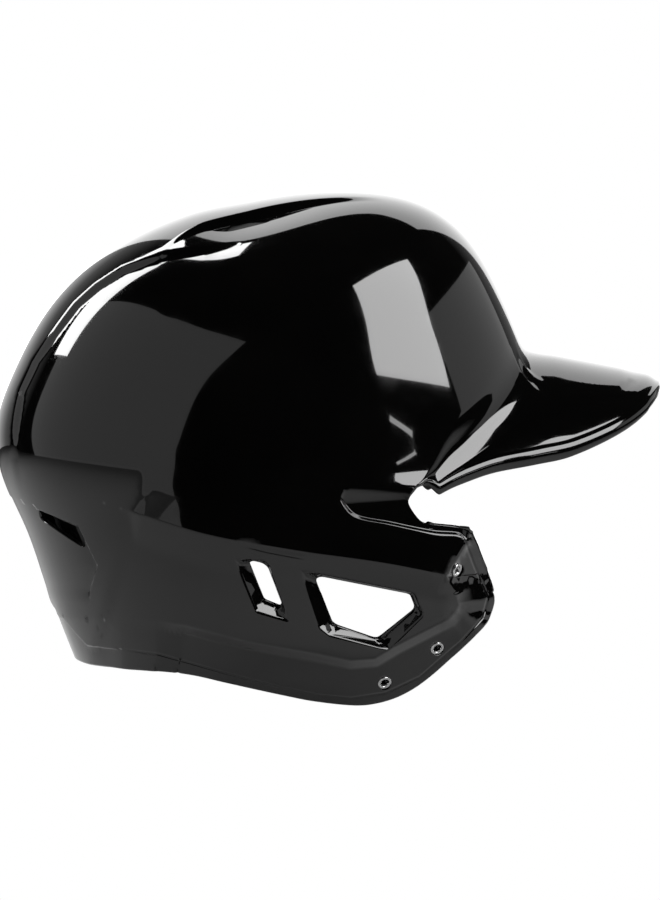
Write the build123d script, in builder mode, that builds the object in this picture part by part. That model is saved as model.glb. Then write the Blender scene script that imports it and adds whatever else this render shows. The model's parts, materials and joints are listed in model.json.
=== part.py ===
from build123d import *
import math
import os

import numpy as np

# Batting helmet with one long flap over the wearer's right ear and jaw. Millimetres.
# +X is forward, over the bill; +Y is the wearer's left; +Z is up. Z = 0 is the flap's lowest
# edge, and X = Y = 0 is the upright axis of the head.

# ---- driving dimensions ---------------------------------------------------------------------
SHELL = 3.5  # wall of the moulded shell
HALF_WIDTH = 102.0  # outer half width, over the ears
ROUNDNESS = 2.2  # exponent of the cross-sections: 2 is an ellipse, more is squarer
HUB = (-12.0, 101.0)  # X and Z of the line through the widest point on each side
# The outer form in the middle plane, from the back of the head over the crown. The last six
# points lie under the rim or inside the bill, and only steer the cheeks.
PROFILE = [
    (-122.0, 113.0), (-113.5, 147.5), (-95.5, 179.5), (-67.0, 206.0), (-26.0, 223.8),
    (12.0, 231.6), (45.0, 232.6), (72.0, 227.0), (94.0, 211.0), (109.0, 186.5), (119.0, 163.0),
    (127.0, 136.0), (136.0, 101.0), (158.0, 45.0), (120.0, -40.0), (-12.0, -89.0), (-78.0, -8.0),
    (-96.5, 39.0), (-109.5, 76.0),
]
LOWEST = -12.0  # where the form is cut off, below every rim
SIDES = 24  # points round each cross-section

BILL_ROOT = (124.0, 158.7)  # X and Z of the bill's top over the middle of the brow
BILL_FALL = 0.19  # how far the bill drops for each millimetre forward
BILL_ARCH = 0.0096  # how fast it drops to the sides, per square millimetre
BILL_WALL = 4.0
TEMPLE_X = 66.0  # where the bill ends at each temple
BILL_EDGE = [(58, 86), (81, 83.6), (114, 76), (135, 68), (154, 58), (166.5, 48), (176, 32), (181, 15)]
BILL_TIP = 182.0

# Rims in side view, from the nape forward. The right one runs round the flap.
NAPE = (-100.0, 17.0)
RIGHT_RIM = [
    (-62, 17), (-40, 14.6), (0, 6.6), (25, 1), (42, 0), (58, 2.5), (70, 9), (84, 21.5), (96, 33),
    (103.5, 42), (104, 50), (94, 76), (87, 80.6), (72, 83.5), (64.3, 91.5), (67, 95.2),
]
LEFT_RIM = [(-84, 20), (-70, 46), (-54, 73), (-34, 89), (-8, 96), (30, 98), (67, 95.2)]

FLAP_TURN = 8.25  # degrees the flap's face turns inward towards the mouth
FLAP_FACE = -99.0  # Y of the flap's face beside the ear
BEVEL_DEPTH = 20.0  # how far the flap's edge wraps in behind that face
# The bevel round the flap: where it starts on the edge, and where it meets the face.
BEVEL_EDGE = [(-62, 16), (-40, 14.6), (0, 6.6), (30, 0.4), (45, 0), (70, 9), (98, 32), (111, 50), (98, 81)]
BEVEL_FACE = [(-62, 17), (-32, 35.5), (8, 27), (34, 22), (49.5, 22), (60, 28.5), (78, 39.5), (82, 60), (88, 80)]

EAR_SLOT = [(-5, 65.2), (2.6, 64), (9, 46), (1, 48.4)]
EAR_WINDOW = [(23.5, 58.2), (64.6, 51.3), (68.1, 44), (51.6, 30.8), (32.2, 37.7), (29.6, 41)]
CROWN_VENT = [(-34, 29), (-24, 36), (4, 36), (14, 30)]
REAR_VENT = [(-105, 86.5), (-84, 78.5), (-80.5, 70.5), (-101, 80.5)]

# Layers under the shell, as distances in from the outer form.
LINER = (4.0, 14.0)
HOOK = (14.5, 15.0)
PAD = (15.2, 21.7)
FLAP_PAD = (5.6, 13.5)
CROWN_LINER = (60.0, 45.0)  # half sizes of the oval crown liner
CROWN_X = 20.0
LINER_GAP = 5.0

INSERT_BARREL = 2.8
INSERT_BORE = 1.65
INSERT_FLANGE = 5.5
INSERT_FLANGE_WALL = 1.2
# Each insert's X, Z, the bevel face it is on, and how far behind its mouth the flange sits.
INSERT_SEATS = [(85.5, 60.0, 7, 4.7), (77.0, 25.5, 5, 3.3), (54.0, 10.5, 4, 3.9)]


# ---- the outer form -------------------------------------------------------------------------
def closed_spline(angles, values):
    """A smooth periodic curve through values at angles, as a function of the angle."""
    order = np.argsort(angles)
    a, v = np.array(angles)[order], np.array(values)[order]
    gap = np.diff(np.append(a, a[0] + 2 * math.pi))
    count = len(a)
    system, right = np.zeros((count, count)), np.zeros(count)
    for i in range(count):
        before, after = gap[i - 1], gap[i]
        system[i, i - 1] += before
        system[i, i] += 2 * (before + after)
        system[i, (i + 1) % count] += after
        right[i] = 6 * ((v[(i + 1) % count] - v[i]) / after - (v[i] - v[i - 1]) / before)
    bend = np.linalg.solve(system, right)

    def value(angle):
        x = a[0] + (angle - a[0]) % (2 * math.pi)
        i = int(np.searchsorted(a, x, side="right")) - 1
        j, h, t = (i + 1) % count, gap[i], x - a[i]
        u = h - t
        return (bend[i] * u**3 + bend[j] * t**3) / (6 * h) + (
            v[i] / h - bend[i] * h / 6) * u + (v[j] / h - bend[j] * h / 6) * t

    return value


profile_reach = closed_spline(
    [math.atan2(z - HUB[1], x - HUB[0]) % (2 * math.pi) for x, z in PROFILE],
    [math.hypot(x - HUB[0], z - HUB[1]) for x, z in PROFILE],
)


def outside(x, y, z, inset):
    """Above 0 outside the form moved in by inset, and below 0 inside it."""
    reach = profile_reach(math.atan2(z - HUB[1], x - HUB[0])) - inset
    along = math.hypot(x - HUB[0], z - HUB[1]) / reach
    across = abs(y) / (HALF_WIDTH - inset)
    return along**ROUNDNESS + across**ROUNDNESS - 1


def crown(inset):
    """The highest point of the form moved in by inset."""
    angles = [math.radians(60 + 0.25 * i) for i in range(200)]
    heights = [(HUB[1] + (profile_reach(a) - inset) * math.sin(a), a) for a in angles]
    top, angle = max(heights)
    return HUB[0] + (profile_reach(angle) - inset) * math.cos(angle), top


def section_points(z, inset, top_x, top):
    """Points round the form at height z."""
    lift = max(0.0, (z - HUB[1]) / (top - HUB[1]))
    centre = top_x * lift**2
    points = []
    for step in range(SIDES):
        turn = math.radians(step * 360 / SIDES)
        low, high = 0.0, 260.0
        for _ in range(40):
            reach = (low + high) / 2
            if outside(centre + reach * math.cos(turn), reach * math.sin(turn), z, inset) > 0:
                high = reach
            else:
                low = reach
        points.append((centre + low * math.cos(turn), low * math.sin(turn)))
    return points


FORMS = {}


def form(inset):
    """The solid inside the outer form moved in by inset, from below the rims to the crown."""
    if inset in FORMS:
        return FORMS[inset]
    top_x, top = crown(inset)
    lower = [LOWEST, 12.0, 36.0, 60.0, 84.0, 108.0]
    upper = [108.0 + (top - 108.0) * math.sin(math.radians(a)) for a in (14, 27, 39, 50, 60, 69, 77, 83, 87)]
    slices = []
    for z in lower + upper:
        ring = [Vector(x, y, z) for x, y in section_points(z, inset, top_x, top)]
        steps = [i / SIDES for i in range(SIDES + 1)]
        slices.append(Face(Wire([Edge.make_spline(ring, periodic=True, parameters=steps)])))
    with BuildPart() as solid:
        loft([*slices, Vertex(top_x, 0, top)])
    FORMS[inset] = solid.part
    return solid.part


# ---- small helpers --------------------------------------------------------------------------
def side_block(points, low_y, high_y):
    """A block with a side-view outline, filling the space between two values of Y."""
    with BuildPart() as block:
        with BuildSketch(Plane.XZ.offset(-high_y)):
            Polygon(*points, align=None)
        extrude(amount=high_y - low_y)
    return block.part


def front_block(points, low_x, high_x):
    """A block with a front-view outline in Y and Z, filling the space between two values of X."""
    with BuildPart() as block:
        with BuildSketch(Plane.YZ.offset(low_x)):
            Polygon(*points, align=None)
        extrude(amount=high_x - low_x)
    return block.part


def oval_block(centre_x, half_x, half_y, low_z, high_z):
    """An upright oval block."""
    with BuildPart() as block:
        with BuildSketch(Plane.XY.offset(low_z)):
            with Locations((centre_x, 0)):
                Ellipse(half_x, half_y)
        extrude(amount=high_z - low_z)
    return block.part


def mirrored(points):
    """A front-view outline moved to the other side of the head."""
    return [(-y, z) for y, z in reversed(points)]


def shrink(points, amount):
    """A side-view outline moved in by amount all round."""
    area = sum(a[0] * b[1] - b[0] * a[1] for a, b in zip(points, points[1:] + points[:1]))
    sign = 1 if area > 0 else -1
    moved = []
    for i, (x, z) in enumerate(points):
        before, after = points[i - 1], points[(i + 1) % len(points)]
        one = (x - before[0], z - before[1])
        two = (after[0] - x, after[1] - z)
        length_one, length_two = math.hypot(*one), math.hypot(*two)
        normal_one = (-sign * one[1] / length_one, sign * one[0] / length_one)
        normal_two = (-sign * two[1] / length_two, sign * two[0] / length_two)
        spread = 1 + normal_one[0] * normal_two[0] + normal_one[1] * normal_two[1]
        moved.append((
            x + amount * (normal_one[0] + normal_two[0]) / spread,
            z + amount * (normal_one[1] + normal_two[1]) / spread,
        ))
    return moved


TURN = math.radians(FLAP_TURN)


def flap_plane(depth):
    """The plane of the flap's face, moved depth in towards the head."""
    origin = (-depth * math.sin(TURN), FLAP_FACE + depth * math.cos(TURN), 0)
    return Plane(
        origin=origin, x_dir=(math.cos(TURN), math.sin(TURN), 0), z_dir=(math.sin(TURN), -math.cos(TURN), 0)
    )


def on_flap(points, depth):
    """Side-view points as points of the flap's plane at a depth."""
    return [((x + depth * math.sin(TURN)) / math.cos(TURN), z) for x, z in points]


def flap_sketch(points, depth):
    with BuildSketch(flap_plane(depth)) as flat:
        Polygon(*on_flap(points, depth), align=None)
    return flat.sketch


def bevel_loft(edge, face, wall, rise):
    """The space inside the bevel, with its walls moved in by wall, from its edge up past the face."""
    edge_in = shrink(edge, 1.4 * wall)
    face_in = shrink(face, 1.4 * wall)
    out = [(f[0] + (f[0] - e[0]) * rise, f[1] + (f[1] - e[1]) * rise) for e, f in zip(edge_in, face_in)]
    with BuildPart() as block:
        loft([flap_sketch(edge_in, BEVEL_DEPTH), flap_sketch(out, -rise * BEVEL_DEPTH)], ruled=True)
    return block.part


def flap_front(wall):
    """The part of the flap that reaches forward of the rounded form, along the jaw."""
    edge, face = BEVEL_EDGE[4:] + [(45, 80)], BEVEL_FACE[4:] + [(45, 80)]
    with BuildPart() as block:
        add(bevel_loft(edge, face, wall, 0.0))
        extrude(
            flap_sketch([(-200, -100), (200, -100), (200, 200), (-200, 200)], wall),
            amount=-80, dir=flap_plane(0).z_dir, mode=Mode.INTERSECT,
        )
        if wall:
            extrude(flap_sketch(shrink(edge, 1.4 * wall), BEVEL_DEPTH), amount=-40, dir=flap_plane(0).z_dir)
    return block.part


def flap_cut(wall):
    """What the bevel takes off the rounded form."""
    edge, face = BEVEL_EDGE + [(92, 95), (-62, 95)], BEVEL_FACE + [(88, 95), (-62, 95)]
    with BuildPart() as block:
        extrude(
            flap_sketch([(-62, -40), (150, -40), (150, 80), (-62, 80)], BEVEL_DEPTH),
            amount=30, dir=flap_plane(0).z_dir,
        )
        add(bevel_loft(edge, face, wall, 0.5), mode=Mode.SUBTRACT)
    return block.part


def moved_in(inset):
    """The whole outer form, flap and all, moved in by inset."""
    with BuildPart() as whole:
        add(form(inset))
        add(flap_cut(inset), mode=Mode.SUBTRACT)
        add(flap_front(inset))
    return whole.part


def layer(outer, inner):
    """A curved layer that follows the head, between two distances in from the outer form."""
    with BuildPart() as curved:
        add(form(outer))
        add(form(inner), mode=Mode.SUBTRACT)
    return curved.part


def bill_sheet(drop, wall):
    """An arched, gently falling sheet, drop below the bill's top and wall thick."""
    slope = Vector(1, 0, -BILL_FALL)
    start_x = 30.0
    top = BILL_ROOT[1] + BILL_FALL * (BILL_ROOT[0] - start_x) - drop
    across = [-96 + 12 * i for i in range(17)]
    with BuildPart() as arched:
        with BuildSketch(Plane.YZ.offset(start_x)) as end:
            with BuildLine():
                Spline(*[(y, top - BILL_ARCH * y * y) for y in across])
                Spline(*[(y, top - wall - BILL_ARCH * y * y) for y in across])
                Line((-96, top - BILL_ARCH * 96**2), (-96, top - wall - BILL_ARCH * 96**2))
                Line((96, top - BILL_ARCH * 96**2), (96, top - wall - BILL_ARCH * 96**2))
            make_face()
        extrude(end.sketch, amount=180 * slope.length, dir=slope)
    return arched.part


def bill_plan(inset):
    """The bill's outline from above, moved in by inset."""
    half = [(x - 0.7 * inset, y - 0.8 * inset) for x, y in BILL_EDGE]
    nose = BILL_TIP - inset
    with BuildPart() as block:
        with BuildSketch():
            with BuildLine():
                Spline(*half, (nose, 0), *[(x, -y) for x, y in reversed(half)])
                Line((half[0][0], -half[0][1]), half[0])
            make_face()
        extrude(amount=240)
    return block.part


BROW = [(67, 95.2), (80, 101.5), (95, 114), (109, 131), (117, 143), (121, 150.5)]
SKY = [(230, 150.5), (230, 300), (-200, 300), (-200, 17)]
LINER_RIM = [
    (-200, 34), (-98, 34), (-88, 44), (-72, 66), (-56, 86), (-34, 101), (0, 105), (62, 105), (76, 108.5),
    (92, 121), (105, 137), (112, 149), (116, 158), (230, 158), (230, 300), (-200, 300),
]


def seat_plane(x, z, face):
    """The plane of an insert's mouth: its place and tilt come from the bevel face it is on."""
    corners = []
    for (px, pz), depth in (
        (BEVEL_EDGE[face], BEVEL_DEPTH), (BEVEL_EDGE[face + 1], BEVEL_DEPTH), (BEVEL_FACE[face], 0.0)
    ):
        corners.append(flap_plane(depth).from_local_coords(Vector(*on_flap([(px, pz)], depth)[0], 0)))
    out = (corners[1] - corners[0]).cross(corners[2] - corners[0]).normalized()
    out = out if out.Y < 0 else -out
    y = corners[0].Y - (out.X * (x - corners[0].X) + out.Z * (z - corners[0].Z)) / out.Y
    return Plane(origin=(x, y, z), z_dir=out)


SEATS = [(seat_plane(x, z, face), reach) for x, z, face, reach in INSERT_SEATS]


# ---- outer shell ----------------------------------------------------------------------------
with BuildPart() as outer_shell:
    add(moved_in(0))
    with BuildPart(mode=Mode.SUBTRACT):
        add(moved_in(SHELL))
    # The face opening, and the two sides cut to their own rims.
    extrude(
        flap_sketch([(60, -40), (130, -40), (130, 76), (60, 76)], BEVEL_DEPTH),
        amount=-45, dir=flap_plane(0).z_dir, mode=Mode.SUBTRACT,
    )
    with BuildPart(mode=Mode.INTERSECT):
        add(side_block([NAPE, *RIGHT_RIM[:-1], *BROW, *SKY], -130, 0))
        add(side_block([NAPE, *LEFT_RIM[:-1], *BROW, *SKY], 0, 130))
    # The bill, with the lip that runs under its edge.
    with BuildPart():
        add(bill_sheet(0, BILL_WALL))
        add(bill_plan(0), mode=Mode.INTERSECT)
        with BuildPart():
            add(bill_sheet(0, 9.0))
            add(bill_plan(0), mode=Mode.INTERSECT)
            add(bill_plan(4.5), mode=Mode.SUBTRACT)
        add(form(SHELL), mode=Mode.SUBTRACT)
    # Openings over the ear, at the back of the head and beside the crown's spine.
    for window in (EAR_SLOT, EAR_WINDOW):
        add(side_block(window, -125, -60), mode=Mode.SUBTRACT)
    add(side_block(REAR_VENT, -100, -20), mode=Mode.SUBTRACT)
    add(side_block(REAR_VENT, 20, 100), mode=Mode.SUBTRACT)
    with BuildSketch(Plane.XY.offset(195)):
        Polygon(*CROWN_VENT, align=None)
        Polygon(*[(x, -y) for x, y in reversed(CROWN_VENT)], align=None)
    extrude(amount=45, mode=Mode.SUBTRACT)
    # Seats for the threaded inserts, moulded with a little draft so that they widen inwards.
    for seat, _ in SEATS:
        with Locations(seat.offset(-4.5).location):
            Cone(INSERT_BARREL + 0.28, INSERT_BARREL + 0.02, 15, mode=Mode.SUBTRACT)
outer_shell.part.label = "outer_shell"


# ---- threaded inserts in the jaw ------------------------------------------------------------
# Flanged nuts pushed in from behind. A face guard's screws go into their open mouths.
with BuildPart() as jaw_inserts:
    for seat, reach in SEATS:
        with BuildSketch(seat):
            Circle(INSERT_BARREL)
        extrude(amount=-reach)
        with BuildSketch(seat.offset(-reach)):
            Circle(INSERT_FLANGE)
        extrude(amount=-INSERT_FLANGE_WALL)
        with BuildSketch(seat.offset(1)):
            Circle(INSERT_BORE)
        extrude(amount=-reach - INSERT_FLANGE_WALL - 2, mode=Mode.SUBTRACT)
jaw_inserts.part.label = "jaw_inserts"

# Soft discs that keep the flanges off the player's face.
with BuildPart() as insert_covers:
    for seat, reach in SEATS:
        with BuildSketch(seat.offset(-reach - INSERT_FLANGE_WALL - 0.1)):
            Circle(INSERT_FLANGE + 0.4)
        extrude(amount=-1.5)
insert_covers.part.label = "insert_covers"


# ---- impact liner ---------------------------------------------------------------------------
# A firm foam bowl in five pieces: an oval at the crown and four round the head.
def liner_zone():
    with BuildPart() as bowl:
        add(layer(*LINER))
        add(side_block(LINER_RIM, -110, 110), mode=Mode.INTERSECT)
        with BuildPart(mode=Mode.SUBTRACT):
            add(oval_block(CROWN_X, CROWN_LINER[0] + LINER_GAP, CROWN_LINER[1] + LINER_GAP, 150, 240))
    return bowl.part


def sector(first, last):
    """An upright wedge from the head's axis, between two directions in degrees from forward."""
    reach = 400
    middle = (first + last) / 2
    corners = [(CROWN_X, 0)]
    for angle in (first, (first + middle) / 2, middle, (middle + last) / 2, last):
        turn = math.radians(angle)
        corners.append((CROWN_X + reach * math.cos(turn), reach * math.sin(turn)))
    with BuildPart() as wedge:
        with BuildSketch(Plane.XY.offset(-20)):
            Polygon(*corners, align=None)
        extrude(amount=280)
    return wedge.part


LINER_BOWL = liner_zone()
SPLIT_FRONT, SPLIT_BACK, SPLIT_GAP = 47.0, 128.0, 1.4

with BuildPart() as liner_crown:
    add(layer(*LINER))
    add(oval_block(CROWN_X, *CROWN_LINER, 150, 240), mode=Mode.INTERSECT)
liner_crown.part.label = "liner_crown"

with BuildPart() as liner_front:
    add(LINER_BOWL)
    add(sector(-SPLIT_FRONT + SPLIT_GAP, SPLIT_FRONT - SPLIT_GAP), mode=Mode.INTERSECT)
liner_front.part.label = "liner_front"

with BuildPart() as liner_left:
    add(LINER_BOWL)
    add(sector(SPLIT_FRONT + SPLIT_GAP, SPLIT_BACK - SPLIT_GAP), mode=Mode.INTERSECT)
liner_left.part.label = "liner_left"

with BuildPart() as liner_right:
    add(LINER_BOWL)
    add(sector(-SPLIT_BACK + SPLIT_GAP, -SPLIT_FRONT - SPLIT_GAP), mode=Mode.INTERSECT)
liner_right.part.label = "liner_right"

with BuildPart() as liner_rear:
    add(LINER_BOWL)
    add(sector(SPLIT_BACK + SPLIT_GAP, 360 - SPLIT_BACK - SPLIT_GAP), mode=Mode.INTERSECT)
    # Air reaches the slots at the back of the shell through channels in the foam.
    for low_y, high_y in ((-100, -20), (20, 100)):
        add(side_block(shrink(REAR_VENT, -2.0), low_y, high_y), mode=Mode.SUBTRACT)
liner_rear.part.label = "liner_rear"


# ---- comfort pads ---------------------------------------------------------------------------
# Soft pads pressed onto patches of hook material on the liner.
PAD_LAYER = layer(*PAD)
BROW_PAD = [(-33, 160), (33, 160), (31, 181), (-31, 181)]
TEMPLE_PAD = [(40, 157), (52, 149), (66, 130), (80, 122), (80, 146), (66, 160), (46, 176), (40, 176)]
SIDE_PAD = [(-32, 110), (44, 112), (42, 136), (30, 152), (-24, 152), (-34, 138)]
REAR_PAD = [(7, 62), (38, 66), (60, 84), (64, 112), (58, 138), (40, 148), (7, 148)]

with BuildPart() as brow_pad:
    add(PAD_LAYER)
    add(front_block(BROW_PAD, 60, 140), mode=Mode.INTERSECT)
brow_pad.part.label = "brow_pad"

with BuildPart() as temple_pad_left:
    add(PAD_LAYER)
    add(front_block(TEMPLE_PAD, 52, 140), mode=Mode.INTERSECT)
temple_pad_left.part.label = "temple_pad_left"

with BuildPart() as temple_pad_right:
    add(PAD_LAYER)
    add(front_block(mirrored(TEMPLE_PAD), 52, 140), mode=Mode.INTERSECT)
temple_pad_right.part.label = "temple_pad_right"

with BuildPart() as side_pad_left:
    add(PAD_LAYER)
    add(side_block(SIDE_PAD, 30, 110), mode=Mode.INTERSECT)
side_pad_left.part.label = "side_pad_left"

with BuildPart() as side_pad_right:
    add(PAD_LAYER)
    add(side_block(SIDE_PAD, -110, -30), mode=Mode.INTERSECT)
side_pad_right.part.label = "side_pad_right"

with BuildPart() as rear_pad_left:
    add(PAD_LAYER)
    add(front_block(REAR_PAD, -120, -40), mode=Mode.INTERSECT)
rear_pad_left.part.label = "rear_pad_left"

with BuildPart() as rear_pad_right:
    add(PAD_LAYER)
    add(front_block(mirrored(REAR_PAD), -120, -40), mode=Mode.INTERSECT)
rear_pad_right.part.label = "rear_pad_right"

with BuildPart() as crown_pad_front:
    add(PAD_LAYER)
    add(oval_block(50, 22, 30, 150, 240), mode=Mode.INTERSECT)
crown_pad_front.part.label = "crown_pad_front"

with BuildPart() as crown_pad_rear:
    add(PAD_LAYER)
    add(oval_block(-8, 26, 30, 150, 240), mode=Mode.INTERSECT)
crown_pad_rear.part.label = "crown_pad_rear"

# ---- hook patches ---------------------------------------------------------------------------
HOOK_RADIUS = 7.0


def hook_patch(x, y, z):
    """A round patch between liner and pad, where the line from the hub to the point crosses them."""
    low, high = 0.2, 2.0
    for _ in range(40):
        share = (low + high) / 2
        place = (HUB[0] + share * (x - HUB[0]), share * y, HUB[1] + share * (z - HUB[1]))
        if outside(*place, HOOK[1]) > 0:
            high = share
        else:
            low = share
    step = 0.01
    slope = Vector(*[
        outside(*[p + step * (i == j) for j, p in enumerate(place)], HOOK[1])
        - outside(*[p - step * (i == j) for j, p in enumerate(place)], HOOK[1])
        for i in range(3)
    ])
    with BuildPart() as patch:
        with BuildSketch(Plane(origin=place, z_dir=slope)):
            Circle(HOOK_RADIUS)
        extrude(amount=HOOK[1] - HOOK[0])
    return patch.part


HOOK_PLACES = [
    (106, 0, 170), (90, 52, 152), (90, -52, 152), (-6, 80, 130), (24, 80, 130), (-6, -80, 130), (24, -80, 130),
    (-88, 34, 126), (-88, -34, 126), (-92, 36, 88), (-92, -36, 88), (50, 0, 214), (-8, 0, 210),
]
with BuildPart() as hook_patches:
    for place in HOOK_PLACES:
        add(hook_patch(*place))
hook_patches.part.label = "hook_patches"


# ---- pads inside the flap -------------------------------------------------------------------
def flap_pad(points):
    """A pad stuck inside the flap, clear of its openings."""
    with BuildPart() as pad:
        add(layer(*FLAP_PAD))
        add(side_block(points, -125, -40), mode=Mode.INTERSECT)
        add(flap_cut(FLAP_PAD[0]), mode=Mode.SUBTRACT)
    return pad.part


EAR_PAD = [(-58, 36), (-44, 24), (-14, 20), (-11, 44), (-12, 74), (-20, 84), (-40, 84), (-54, 66)]
EAR_TOP_PAD = [(-4, 71), (40, 66), (62, 62), (64, 76), (54, 90), (-2, 92), (-12, 86)]
JAW_PAD = [(-4, 18), (28, 12), (43, 12), (46, 27), (29, 33), (22, 42), (12, 40), (0, 42)]

with BuildPart() as ear_pad:
    add(flap_pad(EAR_PAD))
ear_pad.part.label = "ear_pad"

with BuildPart() as ear_top_pad:
    add(flap_pad(EAR_TOP_PAD))
ear_top_pad.part.label = "ear_top_pad"

with BuildPart() as jaw_pad:
    add(flap_pad(JAW_PAD))
jaw_pad.part.label = "jaw_pad"


# ---- written out ----------------------------------------------------------------------------
os.makedirs("parts", exist_ok=True)
export_step(outer_shell.part, "parts/outer_shell.step")
export_step(jaw_inserts.part, "parts/jaw_inserts.step")
export_step(insert_covers.part, "parts/insert_covers.step")
export_step(liner_crown.part, "parts/liner_crown.step")
export_step(liner_front.part, "parts/liner_front.step")
export_step(liner_left.part, "parts/liner_left.step")
export_step(liner_right.part, "parts/liner_right.step")
export_step(liner_rear.part, "parts/liner_rear.step")
export_step(brow_pad.part, "parts/brow_pad.step")
export_step(temple_pad_left.part, "parts/temple_pad_left.step")
export_step(temple_pad_right.part, "parts/temple_pad_right.step")
export_step(side_pad_left.part, "parts/side_pad_left.step")
export_step(side_pad_right.part, "parts/side_pad_right.step")
export_step(rear_pad_left.part, "parts/rear_pad_left.step")
export_step(rear_pad_right.part, "parts/rear_pad_right.step")
export_step(crown_pad_front.part, "parts/crown_pad_front.step")
export_step(crown_pad_rear.part, "parts/crown_pad_rear.step")
export_step(hook_patches.part, "parts/hook_patches.step")
export_step(ear_pad.part, "parts/ear_pad.step")
export_step(ear_top_pad.part, "parts/ear_top_pad.step")
export_step(jaw_pad.part, "parts/jaw_pad.step")
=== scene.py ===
import json
import math

import bmesh
import bpy
import numpy as np
from mathutils import Matrix, Vector, geometry, kdtree


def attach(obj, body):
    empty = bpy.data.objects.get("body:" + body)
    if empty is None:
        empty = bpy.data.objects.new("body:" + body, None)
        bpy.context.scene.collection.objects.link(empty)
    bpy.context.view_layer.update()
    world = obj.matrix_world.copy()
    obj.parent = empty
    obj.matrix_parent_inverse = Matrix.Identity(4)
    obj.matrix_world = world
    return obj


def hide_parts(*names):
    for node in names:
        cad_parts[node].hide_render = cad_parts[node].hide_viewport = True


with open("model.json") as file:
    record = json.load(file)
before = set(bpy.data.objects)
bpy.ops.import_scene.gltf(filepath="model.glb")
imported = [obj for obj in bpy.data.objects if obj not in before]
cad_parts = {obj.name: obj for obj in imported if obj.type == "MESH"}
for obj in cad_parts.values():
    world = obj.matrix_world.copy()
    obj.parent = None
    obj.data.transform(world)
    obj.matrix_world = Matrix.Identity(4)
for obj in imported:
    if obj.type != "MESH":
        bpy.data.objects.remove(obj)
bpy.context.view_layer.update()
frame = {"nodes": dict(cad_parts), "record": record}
MM = 0.001

# Everything below is in millimetres, in the object's own frame: +X over the bill, +Y the
# wearer's left, +Z up. The sizes of the form repeat those of the CAD model.
WALL = 3.5
WIDE = 102.0
ROUND = 2.2
HUB = (-12.0, 101.0)
PROFILE = [
    (-122.0, 113.0), (-113.5, 147.5), (-95.5, 179.5), (-67.0, 206.0), (-26.0, 223.8),
    (12.0, 231.6), (45.0, 232.6), (72.0, 227.0), (94.0, 211.0), (109.0, 186.5), (119.0, 163.0),
    (127.0, 136.0), (136.0, 101.0), (158.0, 45.0), (120.0, -40.0), (-12.0, -89.0), (-78.0, -8.0),
    (-96.5, 39.0), (-109.5, 76.0),
]
BILL_EDGE = [
    (58, 88), (66, 86.6), (88, 81.3), (102.5, 76), (132, 66.5), (153, 56), (165.5, 46.5),
    (176, 32), (181, 15), (182, 0),
]
FAN = 40.0  # X of the point the bill's columns fan out from
RIGHT, LEFT = -1, 1

# Lines of the shell in side view, X and Z.
RIM_RIGHT = [
    (-75, 16.6), (-56, 16.8), (-42, 16), (-29, 14.3), (-16, 11.3), (-3, 8.3), (10, 5.3), (23, 2.5),
    (36, 0.9), (46, 0.9), (55.7, 3), (62, 5.4), (68.3, 8.9), (75, 14), (81.3, 19.6), (88, 25.7),
    (94.3, 31.8), (98.9, 36.8), (102, 43), (102.5, 47), (100.3, 55), (96.4, 64), (93.2, 72.5),
    (91, 76), (86.6, 78.2), (71.5, 80.6), (69, 82), (64, 89.5), (64.6, 93),
]
RIM_LEFT = [(-82, 21), (-70, 46), (-54, 73), (-34, 89), (-8, 96), (30, 98), (58, 97)]
NAPE_Z = 17.5
CREASE_LOW = [(-58.8, 86.4), (-25.6, 76.3), (12.3, 69.1), (53.3, 63.1), (80.4, 57.7)]
CREASE_NOSE = [(80.4, 57.7), (89.2, 72.5)]
CREASE_TOP = [
    (35.6, 94.7), (34.3, 91.7), (36, 87.8), (40.4, 83.5), (55.9, 80), (75.1, 76), (86.5, 74.8),
    (89.2, 72.5),
]
# The flap's face ends on this line. With each point: how steeply the band beside it falls
# away, and the border beyond the band.
FACE = [
    ((-62, 38), 0.0, 0.1), ((-45, 38.5), 0.3, 0.15), ((-32.3, 36.7), 1.3, 0.25),
    ((-5, 29.9), 1.6, 0.4), ((25.2, 24.4), 1.6, 0.55), ((39.1, 21.4), 1.6, 0.62),
    ((49.4, 22.2), 1.6, 0.68), ((58.5, 27.6), 1.6, 0.7), ((76.5, 36.6), 1.5, 0.72),
    ((82, 39.2), 1.2, 0.76), ((85, 42), 1.0, 0.85), ((86, 45), 1.05, 0.95),
    ((84.8, 51.1), 1.1, 1.05), ((80.4, 57.7), 1.1, 1.05), ((89.2, 72.5), 1.1, 1.05),
    ((91.5, 80), 1.1, 1.05),
]
BAND = 4.4
BEAD_LINE = [
    (-64.1, 25.3), (-45.2, 23.4), (-27.6, 18.5), (-16.8, 15.4), (7.9, 8.7), (25.2, 4.9), (39.1, 3.6),
    (54.4, 6), (69.6, 12.8), (87.8, 28.8), (97.3, 38.9), (99.7, 47.9), (93.7, 60.6), (88.8, 72.4),
]
SLOT_OUT = [(-11.3, 65.8), (1.5, 64.7), (4, 62.6), (12.5, 38.2), (-2.1, 42.5)]
SLOT_IN = [(-5.1, 63.5), (-3.5, 64.6), (0.8, 63.6), (3.1, 61.9), (9.3, 45.7), (8.8, 44.3), (1.6, 47.2)]
WINDOW_OUT = [(17.5, 60.6), (66.5, 50.4), (70.6, 40.8), (55.5, 25.7), (29.8, 32), (24.8, 35.8)]
WINDOW_IN = [
    (23.7, 56.6), (25.9, 57.7), (64.3, 49.9), (65.7, 48.4), (68.1, 42.6), (51.5, 29.4), (32.9, 35.8),
    (31.2, 37.5),
]
DASH = [(-10.7, 72.5), (3.7, 68.9), (19.5, 65.9)]
CHEVRON = [(-100.3, 86.4), (-80.4, 79.4), (-71.5, 61.8), (-75.5, 49.8)]
REAR_VENT = [(-100.8, 85.6), (-79.5, 77.7), (-77.8, 69.5), (-79.7, 69.4), (-99.7, 81.1)]
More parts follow.
